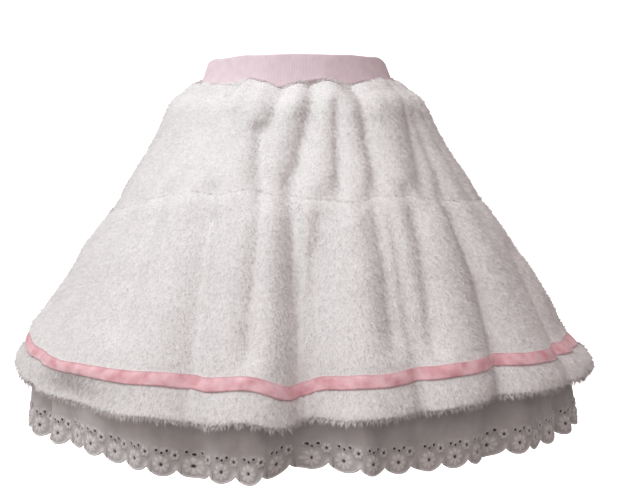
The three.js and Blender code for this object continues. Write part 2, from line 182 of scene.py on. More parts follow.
class Tier:
    """One tier of the skirt and the waves that its gathers and folds give it."""

    def __init__(self, sections, folds, growth, gathers, top, bottom, share):
        self.sections, self.folds, self.growth = sections, folds, growth
        self.gathers, self.top, self.bottom, self.share = gathers, top, bottom, share

    def own_waves(self, degrees, drop):
        count, height, reach, phase = self.gathers
        turn = np.radians(degrees)
        gather = height * np.exp(-drop / reach) * np.sin(count * turn + phase + np.sin(3 * turn))
        depth = 0
        for top_angle, bottom_angle, begin, end, fold, width in self.folds:
            off = np.mod(degrees - mix(top_angle, bottom_angle, drop) + 180, 360) - 180
            begins = 1 if begin == 0 else smooth((drop - begin) / FOLD_FADE)
            ends = 1 if end == 1 else smooth((end - drop) / FOLD_FADE)
            # Each fold is a soft trough with a narrower crease along its middle.
            crease = CREASE * np.exp(-((off / (CREASE_WIDTH * width)) ** 2)) if fold > 0 else 0
            depth = depth + fold * (np.exp(-((off / width) ** 2)) + crease) * begins * ends
        return gather - mix(*self.growth, drop) * depth

    def point(self, degrees, drop):
        """A point of the tier's section at the tips of its pile."""
        turn = np.radians(degrees)
        at_seam = (YOKE.own_waves(degrees, 1.0) + FLOUNCE.own_waves(degrees, 0.0)) / 2
        out = mix(self.own_waves(degrees, drop), at_seam, self.share(drop))
        return np.stack([
            (along(self.sections, 1, drop) + out) * np.sin(turn),
            -(along(self.sections, 2, drop) + out) * np.cos(turn),
            mix(around(self.top, degrees), around(self.bottom, degrees), drop),
        ], -1)

    def facing(self, degrees, drop):
        """The way the wall faces: square on its section, and level at its two rims."""
        turn = np.radians(degrees)
        level = np.stack([np.sin(turn), -np.cos(turn), 0 * turn], -1)
        step = math.degrees(STEP)
        across = self.point(degrees + step, drop) - self.point(degrees - step, drop)
        high, low = np.maximum(0, drop - STEP), np.minimum(1, drop + STEP)
        down = self.point(degrees, low) - self.point(degrees, high)
        square = unit(np.cross(down, across))
        rim = smooth(np.minimum(drop, 1 - drop) / RIM_BLEND)[..., None]
        return unit(mix(level, square, rim)), unit(down)

    def wall(self, degrees, drop, inset):
        normal, _ = self.facing(degrees, drop)
        return self.point(degrees, drop) - normal * np.asarray(inset)[..., None]


def unit(v):
    return v / np.maximum(np.linalg.norm(v, axis=-1, keepdims=True), 1e-9)


YOKE = Tier(
    YOKE_SECTIONS, YOKE_FOLDS, (0.6, 1.0), (20, 1.6, 0.2, 0.7),
    BAND_SEAM_HEIGHT, TIER_SEAM_HEIGHT,
    lambda drop: smooth((drop - 0.8) / 0.2),
)
FLOUNCE = Tier(
    FLOUNCE_SECTIONS, FLOUNCE_FOLDS, (0.75, 1.25), (26, 3.5, 0.2, 0.0),
    TIER_SEAM_HEIGHT, HEM_HEIGHT,
    lambda drop: 1 - smooth(drop / 0.12),
)


# --- Meshes

def grid_faces(rows, columns, closed):
    """The quads of a grid of points, row by row, turned to face out when rows run down."""
    spans = columns if closed else columns - 1
    row, column = np.meshgrid(np.arange(rows - 1), np.arange(spans), indexing="ij")
    a = row * columns + column
    b = row * columns + (column + 1) % columns
    return np.stack([a, a + columns, b + columns, b], -1).reshape(-1, 4)


def placed(name, data):
    """A new object in the scene."""
    obj = bpy.data.objects.new(name, data)
    bpy.context.scene.collection.objects.link(obj)
    return obj


def new_object(name, points, faces, material=None):
    """A smooth-shaded mesh object from points in mm."""
    mesh = bpy.data.meshes.new(name)
    mesh.from_pydata((np.asarray(points, float) * MM).tolist(), [], [list(map(int, f)) for f in faces])
    mesh.update()
    if material is not None:
        mesh.materials.append(material)
    mesh.polygons.foreach_set("use_smooth", [True] * len(mesh.polygons))
    return placed(name, mesh)


def set_uv(obj, values, name="UVMap"):
    """A UV map from one (u, v) for each vertex."""
    layer = obj.data.uv_layers.new(name=name)
    corner = np.zeros(len(obj.data.loops), int)
    obj.data.loops.foreach_get("vertex_index", corner)
    layer.data.foreach_set("uv", np.asarray(values, float)[corner].ravel())


def shell(name, outside, inside, uvs, closed, materials, inner_slot):
    """A closed wall between two grids of points, whose rows run down; each end is joined."""
    rows, columns = outside.shape[:2]
    count = rows * columns
    points = np.concatenate([outside.reshape(-1, 3), inside.reshape(-1, 3)])
    front = grid_faces(rows, columns, closed)
    back = front[:, ::-1] + count
    span = np.arange(columns if closed else columns - 1)
    following = (span + 1) % columns
    top = np.stack([span, following, following + count, span + count], -1)
    low = (rows - 1) * columns
    bottom = np.stack([low + span + count, low + following + count, low + following, low + span], -1)
    faces = [front, back, top, bottom]
    if not closed:
        side = np.arange(rows - 1) * columns
        faces.append(np.stack([side, side + count, side + columns + count, side + columns], -1))
        side = side + columns - 1
        faces.append(np.stack([side + columns, side + columns + count, side + count, side], -1))
    obj = new_object(name, points, np.concatenate(faces))
    for material in materials:
        obj.data.materials.append(material)
    slots = np.zeros(len(obj.data.polygons), int)
    slots[len(front):len(front) + len(back)] = inner_slot
    obj.data.polygons.foreach_set("material_index", slots)
    flat = uvs.reshape(-1, 2)
    set_uv(obj, np.concatenate([flat, flat]))
    return obj


def finish_piece(obj, slot, *nodes):
    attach(obj, BODY)
    if nodes:
        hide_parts(*nodes)


# --- Colours and nodes

def srgb(code):
    """An sRGB hex code as three values from 0 to 1."""
    return tuple(int(code[i:i + 2], 16) / 255 for i in (1, 3, 5))


def linear(color, light=1.0):
    """An sRGB colour turned to Blender's linear values, made lighter or darker by a factor."""
    values = [c / 12.92 if c <= 0.04045 else ((c + 0.055) / 1.055) ** 2.4 for c in color]
    return (*[min(1.0, v * light) for v in values], 1.0)


def add_node(tree, kind, settings=None, inputs=None, links=None):
    """One node: its settings, its inputs' values, and the outputs that feed its inputs."""
    node = tree.nodes.new(kind)
    for key, value in (settings or {}).items():
        setattr(node, key, value)
    for key, value in (inputs or {}).items():
        node.inputs[key].default_value = value
    for key, socket in (links or {}).items():
        tree.links.new(socket, node.inputs[key])
    return node


def feed(tree, value, socket):
    """Feeds a socket from another node's output, or sets it to a constant."""
    if isinstance(value, bpy.types.NodeSocket):
        tree.links.new(value, socket)
    else:
        socket.default_value = value


def mixed(tree, factor, a, b, blend="MIX"):
    """A colour between two others, or one multiplied by the other."""
    node = add_node(tree, "ShaderNodeMix", {"data_type": "RGBA", "blend_type": blend})
    for key, value in (("Factor", factor), ("A", a), ("B", b)):
        feed(tree, value, node.inputs[key])
    return node.outputs["Result"]


def uv_map(tree, name="UVMap"):
    return add_node(tree, "ShaderNodeUVMap", {"uv_map": name}).outputs["UV"]


def axes(tree, vector):
    return add_node(tree, "ShaderNodeSeparateXYZ", links={"Vector": vector}).outputs


def texture(tree, kind, uv, settings=None, **inputs):
    """The value of a texture that lies over a UV map."""
    values = {key.replace("_", " "): value for key, value in inputs.items()}
    return add_node(tree, "ShaderNodeTex" + kind, settings, values, {"Vector": uv}).outputs["Fac"]


def waves(tree, uv, direction, **inputs):
    return texture(tree, "Wave", uv, {"wave_type": "BANDS", "bands_direction": direction}, **inputs)


def patchy(tree, uv, scale, detail, *stops):
    """A colour that varies a little over the cloth, between two stops."""
    return ramp(tree, texture(tree, "Noise", uv, Scale=scale, Detail=detail), stops)


def new_material(name, **shader_inputs):
    """A material with one Principled BSDF whose constant inputs are set on its sockets."""
    material = bpy.data.materials.new(name)
    material.use_nodes = True
    shader = material.node_tree.nodes["Principled BSDF"]
    for key, value in shader_inputs.items():
        shader.inputs[key.replace("_", " ")].default_value = value
    return material, material.node_tree, shader


def ramp(tree, source, stops):
    """A colour ramp over a value, from (place, linear colour) stops."""
    node = add_node(tree, "ShaderNodeValToRGB", links={"Fac": source})
    while len(node.color_ramp.elements) < len(stops):
        node.color_ramp.elements.new(1.0)
    for element, (place, color) in zip(node.color_ramp.elements, stops):
        element.position, element.color = place, color
    return node.outputs["Color"]


def bump(tree, shader, height, distance_mm, strength=1.0):
    node = add_node(
        tree, "ShaderNodeBump", inputs={"Distance": distance_mm * MM, "Strength": strength},
        links={"Height": height},
    )
    tree.links.new(node.outputs["Normal"], shader.inputs["Normal"])


def plush_pile_material(color):
    """Polyester plush pile, brushed and heat-set: matt strands with a soft sheen, with painted shade at the
    roots, darker where strands would shade each other, each strand a little lighter or darker than the next."""
    material, tree, shader = new_material(
        "plush_pile_brushed_polyester", Roughness=0.85, Sheen_Weight=0.15, Sheen_Roughness=0.5,
        Specular_IOR_Level=0.15, IOR=1.5,
    )
    at = axes(tree, uv_map(tree, "OFBake"))
    # Painted shade: each strand is darker towards its root, as where the strands shade each other.
    body = ramp(tree, at["Y"], (
        (0.0, linear(color, 0.8)), (0.35, linear(color, 0.92)), (1.0, linear(color, 1.02)),
    ))
    strand = ramp(tree, at["X"], ((0.0, (0.91, 0.89, 0.89, 1)), (1.0, (1, 1, 1, 1))))
    feed(tree, mixed(tree, 1.0, body, strand, "MULTIPLY"), shader.inputs["Base Color"])
    return material


WAVE_TURN = 6.283  # the wave texture's scale counts turns in radians


def knit_back_material(color, name, stitch_mm, depth_mm):
    """Weft-knitted polyester or cotton: matt, with fine loops in rows."""
    material, tree, shader = new_material(name, Roughness=0.92, Sheen_Weight=0.2, Specular_IOR_Level=0.2)
    uv = uv_map(tree)
    loops = waves(tree, uv, "X", Scale=1 / (stitch_mm * MM) / WAVE_TURN, Distortion=1.5, Detail=1.0)
    tint = patchy(tree, uv, 60.0, 4.0, (0.3, linear(color, 0.86)), (0.7, linear(color, 1.0)))
    feed(tree, tint, shader.inputs["Base Color"])
    bump(tree, shader, loops, depth_mm, 0.7)
    return material


def rib_material(color):
    """Elastic rib knit, one by one: matt, with a column of loops along each rib."""
    material, tree, shader = new_material(
        "rib_knit_elastic_cotton", Roughness=0.88, Sheen_Weight=0.3, Sheen_Roughness=0.5,
        Specular_IOR_Level=0.2,
    )
    uv = uv_map(tree)
    loops = waves(tree, uv, "Y", Scale=130.0, Distortion=2.0, Detail=2.0, Detail_Scale=3.0)
    tint = patchy(tree, uv, 90.0, 5.0, (0.3, linear(color, 0.92)), (0.7, linear(color, 1.03)))
    feed(tree, tint, shader.inputs["Base Color"])
    bump(tree, shader, loops, 0.12, 0.6)
    return material


def satin_material(color):
    """Polyester satin ribbon: glossy warp threads along it, under a fine weft; its colour is painted in
    patches, darker ones as painted shade and lighter ones as painted highlight, standing in for the light on
    its puckers."""
    # A darker, more saturated pink, used for the painted shade in the ribbon's patches.
    painted_shade_color = (color[0] * 0.97, color[1] * 0.83, color[2] * 0.85)
    material, tree, shader = new_material(
        "satin_ribbon_polyester", Roughness=0.42, Sheen_Weight=0.25, Specular_IOR_Level=0.5,
    )
    uv = uv_map(tree)
    weft = waves(tree, uv, "X", Scale=500.0, Distortion=0.6)
    # Painted shade and painted highlight: the colour drifts in patches between the darker pink and a lighter
    # one, as the puckered satin would catch the light.
    tint = patchy(tree, uv, 55.0, 3.0, (0.32, linear(painted_shade_color, 0.86)), (0.6, linear(color, 1.06)))
    # Painted shadow: the upper edge is darkened as if shaded by the pile that overhangs it, and the lower
    # edge a little.
    edge = add_node(
        tree, "ShaderNodeMapRange", inputs={"From Min": 0.0, "From Max": RIBBON_WIDTH * MM},
        links={"Value": axes(tree, uv)["Y"]},
    )
    pressed = ramp(tree, edge.outputs["Result"], (
        (0.0, (0.88, 0.86, 0.86, 1)), (0.12, (1, 1, 1, 1)), (0.84, (1, 1, 1, 1)), (1.0, (0.66, 0.6, 0.6, 1)),
    ))
    feed(tree, mixed(tree, 1.0, tint, pressed, "MULTIPLY"), shader.inputs["Base Color"])
    bump(tree, shader, weft, 0.05, 0.5)
    return material


def lace_material(color):
    """Cotton lawn with satin-stitched embroidery: matt plain weave, paler and smoother thread, with painted
    shade where the colour follows the stitching's height into the hollows between petals and down the
    embroidery's slopes.
    """
    material, tree, shader = new_material(
        "eyelet_cotton_lawn_embroidered", Roughness=0.85, Sheen_Weight=0.15, Specular_IOR_Level=0.25,
    )
    uv = uv_map(tree)
    thread = axes(tree, uv_map(tree, "Thread"))
    cloth = patchy(tree, uv, 45.0, 3.0, (0.3, linear(color, 0.66)), (0.7, linear(color, 0.8)))
    # The colour pales with the stitching's height: partly the paler thread, partly painted shade, darker in
    # the hollows between the petals and on the slopes of the embroidery.
    stitched = mixed(tree, thread["X"], cloth, linear(color, 1.15))
    # Painted shade: the floors of the eyelets are painted nearly black, standing in for the shaded inside of
    # the skirt seen through a hole.
    shaded = mixed(tree, thread["Y"], stitched, linear(color, 0.05))
    feed(tree, shaded, shader.inputs["Base Color"])
    bump(tree, shader, texture(tree, "Checker", uv, Scale=1500.0), 0.08, 0.4)
    return material


# --- The plush tiers

SIDES = {"front": (-89.96, 89.96), "back": (90.04, 269.96)}
TIERS = {"yoke": YOKE, "flounce": FLOUNCE}
# Cut size of each half of a tier before it is gathered, in metres.
CUTS = {"yoke": (0.66, 0.16), "flounce": (1.16, 0.27)}
CLOTH_GRID = {"yoke": (30, 120), "flounce": (44, 150)}
PILE_GRID = {"yoke": (44, 240), "flounce": (80, 320)}
CLOTH_ENDS = {"yoke": (0.0, 1.0), "flounce": (0.0, 0.972)}  # drops of the cloth's own edges
PILE_ENDS = {"yoke": (0.0, 1.01), "flounce": (-0.006, 0.972)}  # the pile closes over the seam
CLOTH_FACE = PLUSH_WALL - CLOTH  # how far the knitted back's face lies under the pile's tips


def tier_grid(ends, side, rows, columns):
    """Angles and drops of a grid over half a tier, with closer rows near its edges."""
    low, high = ends
    first, last = SIDES[side]
    t = np.linspace(0, 1, rows)
    drops = mix(low, high, mix(t, smooth(t), 0.45))
    drop, degrees = np.meshgrid(drops, np.linspace(first, last, columns), indexing="ij")
    return degrees, drop


def cloth_panel(name, side, materials):
    """Half of a tier as a thin shell of knitted cloth, doubled where the hem is turned up."""
    tier = TIERS[name]
    degrees, drop = tier_grid(CLOTH_ENDS[name], side, *CLOTH_GRID[name])
    normal, _ = tier.facing(degrees, drop)
    tips = tier.point(degrees, drop)
    hemmed = 1.0 if name == "flounce" else 0.0
    turned_up = hemmed * smooth((drop - 0.87) / 0.08)
    rounded = hemmed * smooth((drop - 0.955) / 0.017)
    face = CLOTH_FACE + 2.2 * rounded
    back = mix(PLUSH_WALL, HEM_WALL - 0.5, turned_up) - 1.6 * rounded
    outside = tips - normal * face[..., None]
    inside = tips - normal * back[..., None]
    width, length = CUTS[name]
    first, last = SIDES[side]
    uvs = np.stack([(degrees - first) / (last - first) * width, (1 - drop) * length], -1)
    obj = shell(f"{name}_{side}_cloth", outside, inside, uvs, False, materials, 1)
    finish_piece(obj, "plush", f"{name}_{side}")
    return obj


def ribbon_dip(degrees):
    """How much lower, as a drop, the ribbon lies where the deepest fold draws it in."""
    return 0.033 * np.exp(-(((degrees - 1.2) / 4.8) ** 2))


def pile_emitter(name, side):
    """The face that the pile grows from, with the way it lies, its length and where it grows."""
    tier = TIERS[name]
    rows, columns = PILE_GRID[name]
    degrees, drop = tier_grid(PILE_ENDS[name], side, rows, columns)
    normal, down = tier.facing(degrees, drop)
    inset = np.full_like(drop, CLOTH_FACE)
    flow = down.copy()
    length = np.ones_like(drop)
    grows = np.ones_like(drop)
    loose = np.ones_like(drop)
    if name == "flounce":
        # No pile grows under the ribbon, and above it the pile is pressed short.
        above = RIBBON_TOP - drop + ribbon_dip(degrees)
        grows[(above < 0.004) & (drop < RIBBON_BOTTOM + 0.001 + ribbon_dip(degrees))] = 0
        length = np.where(above > 0, np.clip(0.35 + above / 0.045, 0.35, 1), 1.0)
        # The hem is rounded under, and its pile hangs down and in.
        rounded = smooth((drop - 0.95) / 0.022)
        inset = inset + 3.5 * rounded
        flow = unit(flow - 0.4 * rounded[..., None] * normal)
        length = length * (1 + 0.3 * rounded)
        # Under the seam the gathers press the pile, which lies in a groove.
        pressed = np.clip(1 - drop / 0.04, 0, 1)
        length = length * (1 - 0.3 * pressed)
        rise, seam = 0.0, drop
    else:
        pressed = np.clip((drop - 0.9) / 0.1, 0, 1)
        length = length * (1 - 0.1 * pressed)
        # At the gathered upper edge the pile puffs up over the seam, unevenly.
        rim = smooth(1 - drop / 0.05)
        puff = 0.55 + 0.45 * np.sin(np.radians(degrees * 17) + 2 * np.sin(np.radians(degrees * 5)))
        inset = inset - 4.5 * rim
        rise = 3.5 * puff * rim
        flow = unit(mix(flow, 0.5 * normal - 0.6 * down, (0.3 * rim * puff)[..., None]))
        length = length * (1 - 0.35 * rim)
        loose = mix(0.5, 1.0, smooth(drop / 0.2))
        seam = np.minimum(drop, 1 - drop)
    points = tier.point(degrees, drop) - normal * inset[..., None]
    points[..., 2] += rise
    obj = new_object(f"{name}_{side}_emitter", points.reshape(-1, 3), grid_faces(rows, columns, False))
    for key, values in (("pile_length", length), ("pile_grows", grows), ("pile_loose", loose)):
        obj.data.attributes.new(key, "FLOAT", "POINT").data.foreach_set("value", values.ravel())
    # The strands' flat sides are turned out, and more to the front or the back than to the sides.
    # Along the seams, where the face rolls over, they are turned up as well.
    forward = np.array([0, -1.0 if side == "front" else 1.0, 0])
    faces = unit(normal + forward + np.array([0, 0, 1.6]) * smooth(1 - seam / 0.05)[..., None])
    for key, vectors in (("pile_flow", flow), ("pile_faces", faces)):
        obj.data.attributes.new(key, "FLOAT_VECTOR", "POINT").data.foreach_set("vector", vectors.ravel())
    return obj


def tuft_template(strands, spread_mm):
    """A few flat strands that part from one root: unit length along +Z, facing +Y."""
    points, faces, uvs = [], [], []
    for i in range(strands):
        lean = (i - (strands - 1) / 2) / max(1, strands - 1)
        root = lean * spread_mm
        start = len(points)
        points += [(root - 0.5, 0, 0), (root + 0.5, 0, 0), (root * 2.2, lean * 1.2, 1000)]
        faces.append((start, start + 2, start + 1))
        uvs += [(0, 0), (0, 0), (0, 1)]
    obj = new_object("tuft_template", points, faces)
    set_uv(obj, uvs, "OFBake")
    return obj


def pile_tree(template, material):
    """Geometry nodes that plant tufts on a face, lay them down its flow and draw them together
    in clumps."""
    tree = bpy.data.node_groups.new("Pile", "GeometryNodeTree")
    tree.interface.new_socket("Geometry", in_out="INPUT", socket_type="NodeSocketGeometry")
    for label, default in (
        ("Density", 1000.0), ("Length", 0.012), ("Width", 0.0009), ("Rise", 0.5), ("Clump Size", 0.007),
        ("Clump Pull", 0.6), ("Swirl", 0.5), ("Disorder", 0.25), ("Softness", 0.7),
    ):
        socket = tree.interface.new_socket(label, in_out="INPUT", socket_type="NodeSocketFloat")
        socket.default_value = default
    tree.interface.new_socket("Seed", in_out="INPUT", socket_type="NodeSocketInt")
    tree.interface.new_socket("Geometry", in_out="OUTPUT", socket_type="NodeSocketGeometry")
    given = add_node(tree, "NodeGroupInput").outputs

    def math_node(operation, a, b):
        node = add_node(tree, "ShaderNodeMath", {"operation": operation})
        for socket, value in zip(node.inputs, (a, b)):
            feed(tree, value, socket)
        return node.outputs[0]

    def vector_node(operation, a, b=None, scale=None):
        node = add_node(tree, "ShaderNodeVectorMath", {"operation": operation})
        for key, value in ((0, a), (1, b), ("Scale", scale)):
            if value is not None:
                feed(tree, value, node.inputs[key])
        return node.outputs[0]

    def scaled(vector, scale):
        return vector_node("SCALE", vector, scale=scale)

    def made(kind, settings=None, inputs=None, links=None):
        return add_node(tree, kind, settings, inputs, links).outputs[0]

    def attribute(name, kind="FLOAT"):
        return made("GeometryNodeInputNamedAttribute", {"data_type": kind}, {"Name": name})

    def random_value(low, high, seed_step):
        node = add_node(tree, "FunctionNodeRandomValue", {"data_type": "FLOAT"}, {2: low, 3: high})
        tree.links.new(math_node("ADD", given["Seed"], seed_step), node.inputs["Seed"])
        return node.outputs[1]

    density = math_node("MULTIPLY", attribute("pile_grows"), given["Density"])
    planted = add_node(
        tree, "GeometryNodeDistributePointsOnFaces", {"distribute_method": "RANDOM"},
        links={"Mesh": given["Geometry"], "Density": density, "Seed": given["Seed"]},
    )
    place = made("GeometryNodeInputPosition")
    cells = add_node(
        tree, "ShaderNodeTexVoronoi", {"voronoi_dimensions": "3D", "feature": "F1"},
        links={"Vector": place, "Scale": math_node("DIVIDE", 1.0, given["Clump Size"])},
    )
    swirls = add_node(
        tree, "ShaderNodeTexNoise", {"noise_dimensions": "3D"}, {"Scale": 45.0, "Detail": 2.0},
        {"Vector": place},
    )
    normal = planted.outputs["Normal"]
    down = attribute("pile_flow", "FLOAT_VECTOR")
    away = vector_node("SUBTRACT", cells.outputs["Position"], place)
    to_clump = scaled(away, math_node("DIVIDE", given["Clump Pull"], given["Length"]))
    centred = vector_node("SUBTRACT", swirls.outputs["Color"], (0.5, 0.5, 0.5))
    swirl = scaled(centred, math_node("MULTIPLY", given["Swirl"], 2.0))
    free = attribute("pile_loose")
    loose = made(
        "FunctionNodeRandomValue", {"data_type": "FLOAT_VECTOR"}, {0: (-1, -1, -1), 1: (1, 1, 1)},
        {"Seed": math_node("ADD", given["Seed"], 11)},
    )
    direction = vector_node("ADD", down, scaled(normal, given["Rise"]))
    for extra in (to_clump, swirl, scaled(loose, given["Disorder"])):
        direction = vector_node("ADD", direction, scaled(extra, free))
    turned = made("FunctionNodeAlignRotationToVector", {"axis": "Z"}, links={"Vector": direction})
    faced = made(
        "FunctionNodeAlignRotationToVector", {"axis": "Y", "pivot_axis": "Z"},
        links={"Rotation": turned, "Vector": attribute("pile_faces", "FLOAT_VECTOR")},
    )
    width = math_node("MULTIPLY", given["Width"], random_value(0.75, 1.3, 1))
    length = math_node("MULTIPLY", attribute("pile_length"), math_node(
        "MULTIPLY", given["Length"], random_value(0.6, 1.15, 2)))
    across = math_node("DIVIDE", width, MM)
    scale = made("ShaderNodeCombineXYZ", links={"X": across, "Y": across, "Z": length})
    tuft = add_node(tree, "GeometryNodeObjectInfo", inputs={"Object": template, "As Instance": False})
    planted_tufts = add_node(tree, "GeometryNodeInstanceOnPoints", links={
        "Points": planted.outputs["Points"], "Instance": tuft.outputs["Geometry"],
        "Rotation": faced, "Scale": scale})

    def stored(geometry, name, value, kind, domain="INSTANCE"):
        return made(
            "GeometryNodeStoreNamedAttribute", {"data_type": kind, "domain": domain}, {"Name": name},
            {"Geometry": geometry, "Value": value},
        )

    # Light falls through the strands, so each is shaded mostly as the face that it lies on.
    own = scaled(loose, math_node("SUBTRACT", 1.0, given["Softness"]))
    shaded = vector_node("NORMALIZE", vector_node("ADD", normal, own))
    kept = stored(planted.outputs["Points"], "shaded", shaded, "FLOAT_VECTOR", "POINT")
    tree.links.new(kept, planted_tufts.inputs["Points"])
    tinted = stored(planted_tufts.outputs[0], "tint", random_value(0.0, 1.0, 3), "FLOAT")
    real = made("GeometryNodeRealizeInstances", links={"Geometry": tinted})
    soft = made(
        "GeometryNodeSetMeshNormal", {"mode": "FREE", "domain": "POINT"},
        links={"Mesh": real, "Custom Normal": attribute("shaded", "FLOAT_VECTOR")},
    )
    root_to_tip = axes(tree, attribute("OFBake", "FLOAT_VECTOR"))["Y"]
    uv = made("ShaderNodeCombineXYZ", links={"X": attribute("tint"), "Y": root_to_tip})
    mapped = stored(soft, "OFBake", uv, "FLOAT2", "CORNER")
    for name in ("shaded", "tint"):
        mapped = made("GeometryNodeRemoveAttribute", inputs={"Name": name}, links={"Geometry": mapped})
    finished = made("GeometryNodeSetMaterial", inputs={"Material": material}, links={"Geometry": mapped})
    add_node(tree, "NodeGroupOutput", links={"Geometry": finished})
    return tree


def applied(obj, tree, name, **values):
    """Runs a geometry-nodes tree on an object and gives its result as a plain mesh object."""
    modifier = obj.modifiers.new("Nodes", "NODES")
    modifier.node_group = tree
    for item in tree.interface.items_tree:
        key = item.name.replace(" ", "_").lower()
        if item.item_type == "SOCKET" and item.in_out == "INPUT" and key in values:
            modifier[item.identifier] = values[key]
    depsgraph = bpy.context.evaluated_depsgraph_get()
    mesh = bpy.data.meshes.new_from_object(obj.evaluated_get(depsgraph), depsgraph=depsgraph)
    mesh.name = name
    old = obj.data
    bpy.data.objects.remove(obj)
    bpy.data.meshes.remove(old)
    return placed(name, mesh)


# --- The waistband and the ribbon

BAND_RIBS = 264
BAND_COLUMNS = 4 * BAND_RIBS
RIB_HEIGHT = 0.35
BAND_TALL = 32.4  # from the fold down to the seam, along the rib
RIBBON_ROWS, RIBBON_COLUMNS = 9, 540


def ring_point(half, degrees, inset, height):
    """Points of a level ellipse of half width and half depth, drawn in by an inset."""
    turn = np.radians(degrees)
    x, y = (half[0] - inset) * np.sin(turn), -(half[1] - inset) * np.cos(turn)
    return np.stack(np.broadcast_arrays(x, y, height), -1)


def waistband(material):
    """The doubled rib: folded over at its top, drawn in by the gathers at its lower edge."""
    degrees = np.linspace(-180, 180, BAND_COLUMNS, endpoint=False)[None, :]
    turn = np.radians(degrees)
    # How far down from the fold, how far in from the face, and how much of the rib shows.
    fold = ((0, 1.3, 0.3), (0.1, 0.9, 0.5), (0.35, 0.5, 0.8), (0.8, 0.2, 1), (1.5, 0.05, 1), (2.4, 0, 1))
    low = [(fold[-1][0] + step, 0, 1) for step in np.linspace(3, BAND_TALL - fold[-1][0], 11)]
    top = around(BAND_TOP_HEIGHT, degrees)
    seam = around(BAND_SEAM_HEIGHT, degrees) + SEAM_GAP / 2
    rib = np.cos(BAND_RIBS * turn)
    soft = 0.5 * np.sin(9 * turn + 0.6) * np.sin(4 * turn) + 0.35 * np.sin(23 * turn + 2 * np.sin(3 * turn))

    def wall(rows, back):
        lines = []
        for down, inset, share in rows:
            t = down / BAND_TALL
            half = [mix(BAND_TOP[i], BAND_BOTTOM[i], t) for i in (0, 1)]
            ribbed = inset + RIB_HEIGHT * share * (0.5 - 0.5 * rib) + 0.25
            face = BAND_WALL - inset if back else ribbed
            drawn = -0.7 * soft * t**2
            lines.append(ring_point(half, degrees, face + drawn, mix(top, seam, t)))
        return np.concatenate([line.reshape(1, -1, 3) for line in lines])

    rows = [*fold, *low]
    outside, inside = wall(rows, False), wall(rows, True)
    u = np.broadcast_to(degrees / 360 * 0.66, outside.shape[:2])
    v = np.broadcast_to(-np.array([row[0] for row in rows])[:, None] * MM, outside.shape[:2])
    obj = shell("waistband_rib", outside, inside, np.stack([u, v], -1), True, (material,), 0)
    finish_piece(obj, "rib_knit", "waistband")
    return obj


def ribbon(material):
    """The satin ribbon, a little puffed between its two stitched edges and puckered by them."""
    degrees = np.linspace(-180, 180, RIBBON_COLUMNS, endpoint=False)
    across, angle = np.meshgrid(np.linspace(0, 1, RIBBON_ROWS), degrees, indexing="ij")
    turn = np.radians(angle)
    drop = mix(RIBBON_TOP + 0.001, RIBBON_BOTTOM - 0.001, across) + ribbon_dip(angle)
    middle = 1 - (2 * across - 1) ** 2
    pucker = 0.6 * np.sin(53 * turn + 3 * np.sin(7 * turn)) + 0.4 * np.sin(89 * turn + 2 * np.sin(11 * turn))
    lift = 0.35 * middle + pucker * (0.3 + 0.7 * middle)
    outside = FLOUNCE.wall(angle, drop, RIBBON_FACE - lift)
    inside = FLOUNCE.wall(angle, drop, RIBBON_FACE + RIBBON_WALL - lift)
    uvs = np.stack([angle / 360 * 2.2, (1 - across) * RIBBON_WIDTH * MM], -1)
    obj = shell("ribbon_satin", outside, inside, uvs, True, (material,), 0)
    finish_piece(obj, "satin", "ribbon")
    return obj


# --- The lace: one flat repeat of the eyelet embroidery, laid round the ruffle

REPEAT = 38.0  # cut width of one scallop, mm
TILE_START = -12.75  # where a repeat begins, from the middle of its scallop, between two flowers
LACE_HEIGHT = 112.0
LACE_CLOTH = 0.35
# middle along and above the scallop's tip, radius, hole's radius, petals
FLOWERS = ((0.0, 13.6, 10.8, 1.0, 8), (17.3, 25.5, 6.4, 0.9, 6))
# middle along and above the tip, hole's radius, ring's outer radius
EYELETS = ((-5.8, 29.6, 0.9, 3.1), (0.7, 27.2, 0.85, 2.9), (7.4, 30.4, 0.95, 3.2))
# middle along and above the tip, radius, sides
HOLES = (
    *((x, y, hole, 8) for x, y, _, hole, _ in FLOWERS), *((x, y, hole, 10) for x, y, hole, _ in EYELETS),
)
SUNK = 0.9  # width of the slope from an eyelet's stitched ring down to its floor
PIT_DEPTH = 0.3
FLOWER_HEIGHT, STITCH_HEIGHT, BORDER_WIDTH = 1.7, 1.2, 2.0
BACK_RELIEF = 0.4  # how much of the embroidery's height shows on the lace's back
LACE_INSET = 0.9  # from the ruffle's middle to the flat face of the lace
UPPER_LACE = 46.0  # above this height the lace is stretched to reach its seam


def scallop_edge(along_mm):
    """Height of the lace's edge above its tips: round lobes that meet in soft notches."""
    return SCALLOP_DEPTH * (1 - np.abs(np.cos(np.pi * np.asarray(along_mm) / REPEAT)) ** 0.6)


def edge_distance(points):
    """Distance of flat points from the scalloped edge."""
    line = np.linspace(-1.5 * REPEAT, 1.5 * REPEAT, 400)
    edge = np.stack([line, scallop_edge(line)], -1)
    gaps = np.linalg.norm(points[:, None, :] - edge[None], axis=-1)
    return gaps.min(axis=1)


def petals(angle, count):
    """How full a flower is at an angle: 1 along a petal's middle, 0 between two."""
    return np.abs(np.cos(angle * count / 2)) ** 0.6


def flower_edge(angle, radius, count):
    return radius * (0.84 + 0.16 * petals(angle, count))


def stitched(t):
    """Height of a satin-stitched cord across its width, for t from 0 to 1."""
    return STITCH_HEIGHT * np.sqrt(np.clip(4 * t * (1 - t), 0, 1))


